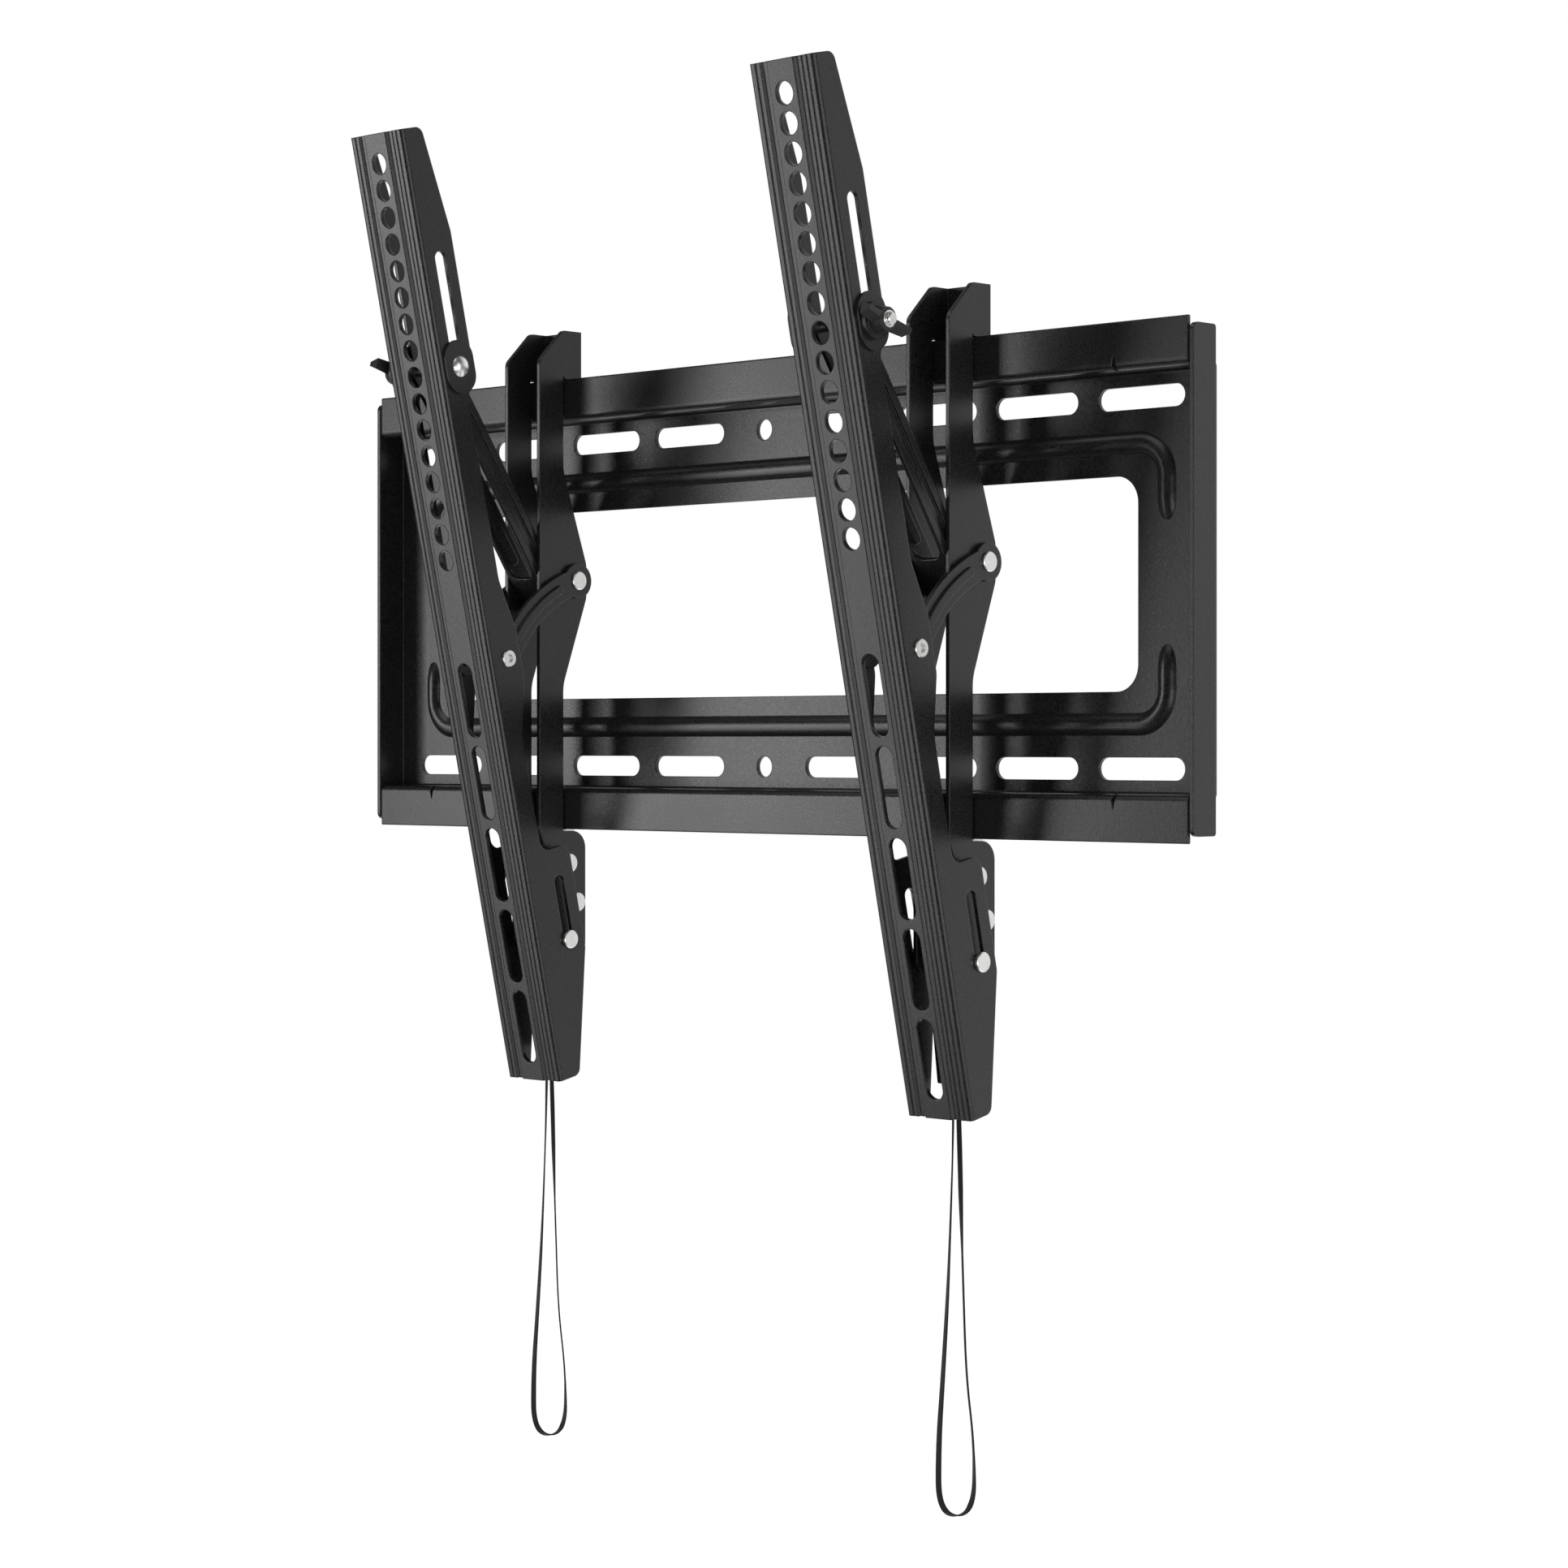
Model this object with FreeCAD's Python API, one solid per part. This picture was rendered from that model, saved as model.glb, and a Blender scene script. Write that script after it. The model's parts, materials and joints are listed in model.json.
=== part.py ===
import FreeCAD, Part
import math
import os

# A tilting TV wall mount in millimetres: +X to the viewer's right, -Y out from the wall, +Z up.
# The origin is on the wall, midway between the plate's two rows of slots.

# Sheet and running clearances
SHEET = 2.0
PIN_FIT = 0.05
SIDE_GAP = 0.4
BEND_INNER = 1.0
BEND_OUTER = BEND_INNER + SHEET

# Wall plate
PLATE_HALF_WIDTH = 250.6
PLATE_DEPTH = 17.0
SHELF_TOP = 87.0
LIP_TOP = 104.4
LIP_END_GAP = 1.2
FLANGE_HALF_HEIGHT = 101.5
FLANGE_REAR_INSET = 2.5
FLANGE_STEP_HEIGHT = 83.5
FLANGE_CORNER = 3.0
WINDOW_HALF_WIDTH = 211.0
WINDOW_HALF_HEIGHT = 43.7
WINDOW_CORNER = 11.0
SLOT_ROW = 75.0
SLOT_FIRST = 25.4
SLOT_LENGTH = 44.4
SLOT_PITCH = 55.0
SLOT_WIDTH = 9.2
SLOTS_PER_SIDE = 4
CENTRE_HOLE_RADIUS = 4.65
RIB_ROW = 57.0
RIB_COLUMN = 225.7
RIB_CORNER = 14.0
RIB_END = 35.5
RIB_WIDTH = 9.0
RIB_HEIGHT = 2.4
RIB_RUN_OUT = 10.0
DART_X = 210.0
DART_LEG = 6.5
DART_HALF = 1.6
GUSSET_LEG = 5.6
GUSSET_HALF = 3.2

# Where the two brackets hang
BRACKET_RIGHT_X = 124.4
BRACKET_LEFT_X = -127.0

# Hook bracket: a channel of two side walls, named by distance from the wall and height
HOOK_HALF_WIDTH = 12.0
HOOK_TOP = 127.0
HOOK_BACK = 6.5
HOOK_BROW = 18.0
HOOK_BROW_DROP = 14.6
HOOK_FRONT = 32.5
HOOK_FOOT = -160.5
HOOK_FOOT_BACK = 3.9
HOOK_FOOT_FRONT = 28.0
HOOK_KNEE_Z = -104.0
HOOK_WAIST_UPPER = 62.0
HOOK_WAIST_LOWER = -37.5
HOOK_BULGE_BACK = 3.2
HOOK_BULGE_HALF = 7.8
LIP_FRONT_GAP = 0.8
LIP_BACK_GAP = 0.6
LIP_TOP_GAP = 0.3
LIP_FOOT_GAP = 0.9
HOOK_FINGER = 8.2
RELIEF_RADIUS = 0.8

# Pivots, as distance from the wall and height
ARM_PIVOT_OUT = 10.4
ARM_PIVOT_Z = 11.0
BRACE_PIVOT_OUT = 19.0
BRACE_PIVOT_Z = 2.0
SLOT_PIN_OUT = 19.8
SLOT_PIN_Z = -155.1

# TV rail: places along the rail from its top, and depths from its front towards the wall
TILT = 12.55
RAIL_LENGTH = 438.5
RAIL_HALF_WIDTH = 18.0
RAIL_BAND_HALF = 7.2
RAIL_STEP = 1.0
RAIL_CREASE = 0.4
RAIL_GROOVE_DEPTH = 1.4
RAIL_BEAD_DEPTH = 0.7
RAIL_BEAD_INNER = 11.7
RAIL_BEAD_OUTER = 13.7
RAIL_CORNER = 1.8
RAIL_HOLE_RADIUS = 4.7
RAIL_HOLE_FIRST = 13.5
RAIL_HOLE_PITCH = 12.0
RAIL_HOLE_COUNT = 16
RAIL_SLOT_FIRST = 241.1
RAIL_SLOT_PITCH = 38.6
RAIL_SLOT_LENGTH = 34.8
RAIL_SLOT_COUNT = 5
TILT_SLOT_TOP = 55.5
TILT_SLOT_BOTTOM = 113.0
TILT_SLOT_WIDTH = 6.4
TILT_SLOT_DEPTH = 11.0
TILT_BOLT_PLACE = 107.5
PIN_SLOT_TOP = 345.0
PIN_SLOT_BOTTOM = 378.9
PIN_SLOT_WIDTH = 6.0
PIN_SLOT_DEPTH = 20.1
SLOT_PIN_PLACE = 375.5
ARM_BOLT_PLACE = 241.4
ARM_BOLT_DEPTH = 11.8
FLANGE_TOP_DEPTH = 12.3
FLANGE_SHOULDER_PLACE = 47.5
FLANGE_SHOULDER_DEPTH = 19.6
FLANGE_NOTCH_PLACE = 115.0
FLANGE_WAIST_DEPTH = 13.8
FLANGE_EAR_RISE = 12.0
FLANGE_EAR_DEPTH = 19.3
FLANGE_CALF_DEPTH = 12.3
FLANGE_WING_PLACE = 332.0
FLANGE_WING_DEPTH = 29.4
FLANGE_WING_END = 381.5
FLANGE_TOE_DEPTH = 13.0

# Curved arms
ARM_WIDTH = 12.0
ARM_BOW = 6.3
ARM_EYE_RADIUS = 8.1
ARM_END_RADIUS = 7.1
ARM_EYE_SHIFT = 2.0
ARM_EYE_DROP = 2.25
ARM_EYE_TRAVEL = 4.0
ARM_EYE_FREE = 0.85
ARM_RIB_WIDTH = 4.4
ARM_RIB_HEIGHT = 1.25
ARM_RIB_CHAMFER = 0.4
ARM_RIB_START = 0.22
ARM_RIB_STOP = 0.80

# Brace
BRACE_SHEET = 1.8
BRACE_WIDTH = 11.0
BRACE_WEB_TOP = 15.0
BRACE_WEB_CORNER = 5.0
BRACE_GROOVE_WIDTH = 4.2
BRACE_GROOVE_DEPTH = 1.1
BRACE_GROOVE_START = 20.0
BRACE_GROOVE_STOP = 14.0

# Pins, rivets, bolts, washers and knob
ARM_RIVET_RADIUS = 2.5
ARM_RIVET_HEAD_RADIUS = 4.25
ARM_RIVET_HEAD = 1.1
ARM_BOLT_RADIUS = 2.0
ARM_BOLT_HEAD_RADIUS = 3.9
ARM_BOLT_HEAD = 1.0
ARM_BOLT_SOCKET = 2.0
ARM_BOLT_SOCKET_DEPTH = 0.8
SLOT_PIN_RADIUS = 2.0
SLOT_PIN_HEAD_RADIUS = 4.25
SLOT_PIN_HEAD = 1.6
BRACE_PIN_RADIUS = 2.5
TILT_BOLT_RADIUS = 2.6
TILT_BOLT_HEAD_RADIUS = 4.8
TILT_BOLT_HEAD = 2.4
TILT_BOLT_END = 30.2
SPACER_RADIUS = 4.0
WASHER_WIDTH = 16.6
WASHER_LENGTH = 24.0
WASHER_SHEET = 1.5
KNOB_BASE_RADIUS = 7.6
KNOB_BASE = 2.4
KNOB_HUB_RADIUS = 6.2
KNOB_TIP_RADIUS = 4.9
KNOB_HEIGHT = 8.0
KNOB_INSERT_RADIUS = 3.5
KNOB_INSERT_RISE = 0.8
KNOB_INSERT_LENGTH = 5.0
KNOB_WING_REACH = 13.0
KNOB_WING_ROOT = 7.0
KNOB_WING_TIP = 5.0
KNOB_WING_TAPER = 0.4
KNOB_WING_BASE = 3.2
KNOB_WING_RISE = 1.4
KNOB_TURN = -17.0

# Latch: slider, tongue, guide rivets, spring and strap
SLIDER_SHEET = 1.8
SLIDER_BACK = 4.8
SLIDER_FRONT = 18.0
SLIDER_NECK_FRONT = 8.8
SLIDER_WIDE_END = -144.5
SLIDER_NECK_END = -169.0
SLIDER_HIP_FRONT = 20.5
SLIDER_BOTTOM = -207.5
SLIDER_TOE_FRONT = 15.5
SLIDER_TAB_HALF = 5.0
SLIDER_SHELF_TOP = -133.5
LATCH_TRAVEL = 8.0
GUIDE_RADIUS = 2.0
GUIDE_HEAD_RADIUS = 4.35
GUIDE_HEAD = 1.1
GUIDE_PLACES = ((14.0, -120.2), (9.0, -138.4))
TONGUE_GAP = 0.3
TONGUE_PLATE = 1.9
TONGUE_FRONT = 17.4
TONGUE_BACK = 8.5
TONGUE_TAIL = 11.0
TONGUE_TAIL_SHEET = 2.0
TONGUE_NOSE_TOP = -98.0
TONGUE_NOSE_GAP = 0.8
TONGUE_NOSE_SHEET = 3.0
SPRING_OUT = 12.6
SPRING_RADIUS = 2.5
SPRING_WIRE = 0.5
SPRING_TURNS = 5
FOOT_WEB_FRONT = 16.4
FOOT_WEB_BACK = 9.6
STRAP_WIDTH = 2.2
STRAP_SHEET = 1.0
STRAP_OUT = 13.0
STRAP_LEFT_SWAY = -1.3
STRAP_FACING = 44.0
STRAP_ROUTE = (
    (-2.1, 0.0), (-2.4, -25.0), (-3.3, -54.0), (-4.6, -88.0), (-6.6, -122.0), (-8.5, -151.0),
    (-8.4, -180.3), (6.4, -180.3), (6.5, -151.0), (3.1, -122.0), (2.0, -88.0), (1.0, -54.0),
    (0.4, -25.0), (-0.4, 0.0))
STRAP_ARC_SHARE = 0.45

# Places worked out from the driving sizes
HOOK_INNER = HOOK_HALF_WIDTH - SHEET
RAIL_INNER = RAIL_HALF_WIDTH - SHEET
ARM_INNER = HOOK_HALF_WIDTH + SIDE_GAP
ARM_OUTER = ARM_INNER + SHEET
SLIDER_HALF = HOOK_INNER - SIDE_GAP
SLIDER_INNER = SLIDER_HALF - SLIDER_SHEET
BRACE_OUTER = HOOK_INNER - SIDE_GAP
BRACE_INNER = BRACE_OUTER - BRACE_SHEET
LIP_BACK = PLATE_DEPTH - SHEET
LIP_HALF = PLATE_HALF_WIDTH - SHEET - LIP_END_GAP
SLIDER_TOP = -LIP_TOP - TONGUE_GAP - TONGUE_PLATE
TILT_SIN = math.sin(math.radians(TILT))
TILT_COS = math.cos(math.radians(TILT))
X_AXIS = FreeCAD.Vector(1, 0, 0)
Y_AXIS = FreeCAD.Vector(0, 1, 0)
Z_AXIS = FreeCAD.Vector(0, 0, 1)


def rounded_wire(corners, place):
    """Closed outline with a radius at each corner; place turns two numbers into a point."""
    points = [place(a, b) for a, b, _ in corners]
    starts, ends, arcs = [], [], []
    for i, (_, _, radius) in enumerate(corners):
        corner = points[i]
        back = (points[i - 1] - corner).normalize()
        ahead = (points[(i + 1) % len(points)] - corner).normalize()
        if radius <= 0:
            starts.append(corner)
            ends.append(corner)
            arcs.append(None)
            continue
        half = back.getAngle(ahead) / 2
        reach = radius / math.tan(half)
        middle = (back + ahead).normalize() * (radius / math.sin(half))
        centre = corner + middle
        starts.append(corner + back * reach)
        ends.append(corner + ahead * reach)
        arcs.append(centre - middle.normalize() * radius)
    edges = []
    for i in range(len(points)):
        if arcs[i] is not None:
            edges.append(Part.Arc(starts[i], arcs[i], ends[i]).toShape())
        following = starts[(i + 1) % len(points)]
        if ends[i].distanceToPoint(following) > 1e-6:
            edges.append(Part.LineSegment(ends[i], following).toShape())
    return Part.Wire(edges)


def side_plate(corners, x_low, x_high):
    """Plate seen from the side: corners are distance from the wall, height and radius."""
    wire = rounded_wire(corners, lambda out, z: FreeCAD.Vector(x_low, -out, z))
    return Part.Face(wire).extrude(X_AXIS * (x_high - x_low))


def box(x_low, x_high, y_low, y_high, z_low, z_high):
    """Box between two corners."""
    return Part.makeBox(x_high - x_low, y_high - y_low, z_high - z_low, FreeCAD.Vector(x_low, y_low, z_low))


def cross_rod(radius, x_low, x_high, out, z):
    """Rod along X at a distance from the wall and a height."""
    return Part.makeCylinder(radius, x_high - x_low, FreeCAD.Vector(x_low, -out, z), X_AXIS)


def joined(first, *others):
    """One solid from several that meet."""
    return first.fuse(list(others)).removeSplitter()


def both_walls(shape):
    """A piece of one side wall together with its mirror image across the bracket."""
    return [shape, shape.mirror(FreeCAD.Vector(0, 0, 0), X_AXIS)]


def rail_point(place, depth):
    """Distance from the wall and height of a point on the tilted rail."""
    along = place - SLOT_PIN_PLACE
    deep = depth - PIN_SLOT_DEPTH
    out = SLOT_PIN_OUT - along * TILT_SIN - deep * TILT_COS
    return out, SLOT_PIN_Z - along * TILT_COS + deep * TILT_SIN


def plate_slot(x_centre, z, length, width):
    """Cutter for a round-ended slot through the wall plate."""
    reach = (length - width) / 2
    ends = [(x_centre - length / 2, z - width / 2), (x_centre + length / 2, z - width / 2),
            (x_centre + length / 2, z + width / 2), (x_centre - length / 2, z + width / 2)]
    if reach <= 0:
        return Part.makeCylinder(width / 2, 4 * SHEET, FreeCAD.Vector(x_centre, -3 * SHEET, z), Y_AXIS)
    corners = [(a, b, width / 2 - 1e-4) for a, b in ends]
    wire = rounded_wire(corners, lambda a, b: FreeCAD.Vector(a, -3 * SHEET, b))
    return Part.Face(wire).extrude(Y_AXIS * 4 * SHEET)


def plate_rib(sign):
    """C-shaped stiffening rib, raised from the plate's front, in its upper or lower half."""
    front = -SHEET
    half = RIB_WIDTH / 2
    turn = RIB_CORNER * (1 - math.sqrt(0.5))

    def at(x, z):
        return FreeCAD.Vector(x, front, sign * z)

    path = Part.Wire([
        Part.LineSegment(at(RIB_COLUMN, RIB_END), at(RIB_COLUMN, RIB_ROW - RIB_CORNER)).toShape(),
        Part.Arc(at(RIB_COLUMN, RIB_ROW - RIB_CORNER), at(RIB_COLUMN - turn, RIB_ROW - turn),
                 at(RIB_COLUMN - RIB_CORNER, RIB_ROW)).toShape(),
        Part.LineSegment(at(RIB_COLUMN - RIB_CORNER, RIB_ROW),
                         at(RIB_CORNER - RIB_COLUMN, RIB_ROW)).toShape(),
        Part.Arc(at(RIB_CORNER - RIB_COLUMN, RIB_ROW), at(turn - RIB_COLUMN, RIB_ROW - turn),
                 at(-RIB_COLUMN, RIB_ROW - RIB_CORNER)).toShape(),
        Part.LineSegment(at(-RIB_COLUMN, RIB_ROW - RIB_CORNER), at(-RIB_COLUMN, RIB_END)).toShape()])

    foot_low, foot_high = at(RIB_COLUMN - half, RIB_END), at(RIB_COLUMN + half, RIB_END)
    sink = FreeCAD.Vector(0, SHEET / 4, 0)
    bow = Part.Arc(foot_low, at(RIB_COLUMN, RIB_END) - Y_AXIS * RIB_HEIGHT, foot_high).toShape()
    crest = Part.Wire([bow, Part.makePolygon([foot_high, foot_high + sink, foot_low + sink, foot_low])])
    bar = path.makePipeShell([crest], True, False)
    radius = RIB_RUN_OUT ** 2 / (2 * RIB_HEIGHT) + RIB_HEIGHT / 2
    hub = at(0, RIB_END) + Y_AXIS * radius
    turn_out = math.degrees(math.asin(RIB_RUN_OUT / radius))
    end = Part.Face(crest).revolve(hub, X_AXIS * sign, turn_out)
    end = end.common(box(0, PLATE_HALF_WIDTH, 2 * front - RIB_HEIGHT, front / 2, -RIB_ROW, RIB_ROW))
    return joined(bar, end, end.mirror(FreeCAD.Vector(0, 0, 0), X_AXIS))


def plate_dart(x_centre, sign):
    """Gusset and matching V-shaped dent that stiffen a lip's bend."""
    def pressed(out, z, leg, half):
        def at(x, a, b):
            return FreeCAD.Vector(x_centre + x, -a, sign * b)

        left, right = at(-half, out, z), at(half, out, z)
        up, back = at(0, out, z + leg), at(0, out - leg, z)
        sides = ((left, right, up), (right, left, back), (left, up, back), (right, back, up))
        faces = [Part.Face(Part.makePolygon([*corners, corners[0]])) for corners in sides]
        return Part.Solid(Part.Shell(faces))

    gusset = pressed(LIP_BACK, SHELF_TOP, GUSSET_LEG, GUSSET_HALF)
    dent = pressed(PLATE_DEPTH, SHELF_TOP - SHEET, DART_LEG, DART_HALF)
    return gusset, dent


def wall_plate():
    """Pressed and folded wall plate, one sheet."""
    lip, shelf = LIP_TOP, SHELF_TOP
    under = SHELF_TOP - SHEET
    section = side_plate([
        (PLATE_DEPTH, lip, 0.6), (LIP_BACK, lip, 0.6), (LIP_BACK, shelf, BEND_INNER),
        (0, shelf, BEND_OUTER), (0, -shelf, BEND_OUTER), (LIP_BACK, -shelf, BEND_INNER),
        (LIP_BACK, -lip, 0.6), (PLATE_DEPTH, -lip, 0.6), (PLATE_DEPTH, -under, BEND_OUTER),
        (SHEET, -under, BEND_INNER), (SHEET, under, BEND_INNER),
        (PLATE_DEPTH, under, BEND_OUTER)], -LIP_HALF, LIP_HALF)
    edge, web = PLATE_HALF_WIDTH, PLATE_HALF_WIDTH - SHEET
    root = LIP_HALF - SHEET
    fold = rounded_wire([
        (root, 0, 0), (edge, 0, BEND_OUTER), (edge, -PLATE_DEPTH, 0), (web, -PLATE_DEPTH, 0),
        (web, -SHEET, LIP_END_GAP / 2), (root, -SHEET, 0)],
        lambda x, y: FreeCAD.Vector(x, y, -FLANGE_HALF_HEIGHT))
    flange = Part.Face(fold).extrude(Z_AXIS * 2 * FLANGE_HALF_HEIGHT)
    tip, step = FLANGE_HALF_HEIGHT, FLANGE_STEP_HEIGHT
    inset = FLANGE_REAR_INSET
    outline = side_plate([
        (PLATE_DEPTH, -tip, FLANGE_CORNER), (PLATE_DEPTH, tip, FLANGE_CORNER),
        (inset, tip, FLANGE_CORNER / 2), (inset, step + inset, 0), (0, step, 0), (0, -step, 0),
        (inset, -step - inset, 0), (inset, -tip, FLANGE_CORNER / 2)], 0, 2 * edge)
    flange = flange.common(outline)
    plate = joined(section, *both_walls(flange))
    ribs = [plate_rib(1), plate_rib(-1)]
    darts = [plate_dart(x, sign) for x in (-DART_X, DART_X) for sign in (-1, 1)]
    plate = joined(plate, *ribs, *[gusset for gusset, _ in darts])
    cutters = [rib.translated(Y_AXIS * SHEET) for rib in ribs] + [dent for _, dent in darts]
    reach_x, reach_z = WINDOW_HALF_WIDTH, WINDOW_HALF_HEIGHT
    window = rounded_wire([
        (-reach_x, -reach_z, WINDOW_CORNER), (reach_x, -reach_z, WINDOW_CORNER),
        (reach_x, reach_z, WINDOW_CORNER), (-reach_x, reach_z, WINDOW_CORNER)],
        lambda x, z: FreeCAD.Vector(x, -2 * SHEET, z))
    cutters.append(Part.Face(window).extrude(Y_AXIS * 3 * SHEET))
    for z in (-SLOT_ROW, SLOT_ROW):
        cutters.append(plate_slot(0, z, 2 * CENTRE_HOLE_RADIUS, 2 * CENTRE_HOLE_RADIUS))
        for i in range(SLOTS_PER_SIDE):
            x = SLOT_FIRST + SLOT_LENGTH / 2 + i * SLOT_PITCH
            cutters += [plate_slot(x, z, SLOT_LENGTH, SLOT_WIDTH), plate_slot(-x, z, SLOT_LENGTH, SLOT_WIDTH)]
    return plate.cut(cutters)


def hook_bracket():
    """Channel that hangs on the upper lip, carries the pivots and guides the latch."""
    finger_front = LIP_BACK - LIP_BACK_GAP
    finger_foot = LIP_TOP + LIP_TOP_GAP - HOOK_FINGER
    waist = PLATE_DEPTH + LIP_FRONT_GAP
    notch = LIP_TOP + LIP_TOP_GAP
    shoulder = -LIP_TOP - LIP_FOOT_GAP
    bulge_top = ARM_PIVOT_Z + HOOK_BULGE_HALF
    bulge_foot = ARM_PIVOT_Z - HOOK_BULGE_HALF
    wall = side_plate([
        (HOOK_BACK, HOOK_TOP, 0.4), (HOOK_BROW, HOOK_TOP, 3.0), (HOOK_FRONT, HOOK_TOP - HOOK_BROW_DROP, 5.0),
        (HOOK_FRONT, HOOK_KNEE_Z, 12.0), (HOOK_FOOT_FRONT, HOOK_KNEE_Z - 12.0, 12.0),
        (HOOK_FOOT_FRONT, HOOK_FOOT, 5.0), (HOOK_FOOT_BACK, HOOK_FOOT, 3.0), (HOOK_FOOT_BACK, shoulder, 8.0),
        (waist, shoulder, 0.6), (waist, HOOK_WAIST_LOWER, 20.0), (HOOK_BULGE_BACK, bulge_foot, 9.0),
        (HOOK_BULGE_BACK, bulge_top, 9.0), (waist, HOOK_WAIST_UPPER, 20.0), (waist, notch, 0),
        (finger_front, notch, 0), (finger_front, finger_foot, 1.0), (HOOK_BACK, finger_foot, 1.0)],
        HOOK_INNER, HOOK_HALF_WIDTH)
    web = box(-HOOK_HALF_WIDTH, HOOK_HALF_WIDTH, -HOOK_BACK - SHEET, -HOOK_BACK, finger_foot, HOOK_TOP)
    foot = box(-HOOK_INNER, HOOK_INNER, -FOOT_WEB_FRONT, -FOOT_WEB_BACK, HOOK_FOOT, HOOK_FOOT + SHEET)
    bracket = joined(both_walls(wall)[0], both_walls(wall)[1], web, foot)
    width = HOOK_HALF_WIDTH + SHEET
    cutters = [
        cross_rod(ARM_RIVET_RADIUS + PIN_FIT, -width, width, ARM_PIVOT_OUT, ARM_PIVOT_Z),
        cross_rod(BRACE_PIN_RADIUS + PIN_FIT, -width, width, BRACE_PIVOT_OUT, BRACE_PIVOT_Z),
        cross_rod(SLOT_PIN_RADIUS + PIN_FIT, -width, width, SLOT_PIN_OUT, SLOT_PIN_Z),
        cross_rod(RELIEF_RADIUS, -width, width, waist, notch)]
    for out, z in GUIDE_PLACES:
        cutters.append(cross_rod(GUIDE_RADIUS + PIN_FIT, -width, width, out, z))
    return bracket.cut(cutters)


def rail_section():
    """Cross-section of the rail's pressed front and flanges, drawn at its top end."""
    band, bead_in, bead_out = RAIL_BAND_HALF, RAIL_BEAD_INNER, RAIL_BEAD_OUTER
    groove, bead = RAIL_GROOVE_DEPTH, RAIL_BEAD_DEPTH
    crease = RAIL_CREASE
    foot = bead_in - RAIL_STEP / 2
    front = [
        (band, 0, 0.5), (band + RAIL_STEP, groove, 0), (foot - 2 * crease, groove, 0),
        (foot - crease, groove + crease, 0), (foot, groove, 0), (bead_in, bead, 0), (bead_out, bead, 0),
        (bead_out + crease, bead + crease, 0), (bead_out + 2 * crease, bead, 0),
        (RAIL_HALF_WIDTH, bead, RAIL_CORNER)]
    deep = FLANGE_WING_DEPTH + SHEET
    back = [
        (RAIL_INNER, deep, 0), (RAIL_INNER, bead + SHEET, 0), (bead_in, bead + SHEET, 0),
        (foot, groove + SHEET, 0), (band, groove + SHEET, 0), (band - RAIL_STEP, SHEET, 0)]
    right = front + [(RAIL_HALF_WIDTH, deep, 0)] + back
    left = [(-x, depth, radius) for x, depth, radius in reversed(right)]
    return rounded_wire(right + left, lambda x, depth: FreeCAD.Vector(x, depth, 0))


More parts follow.
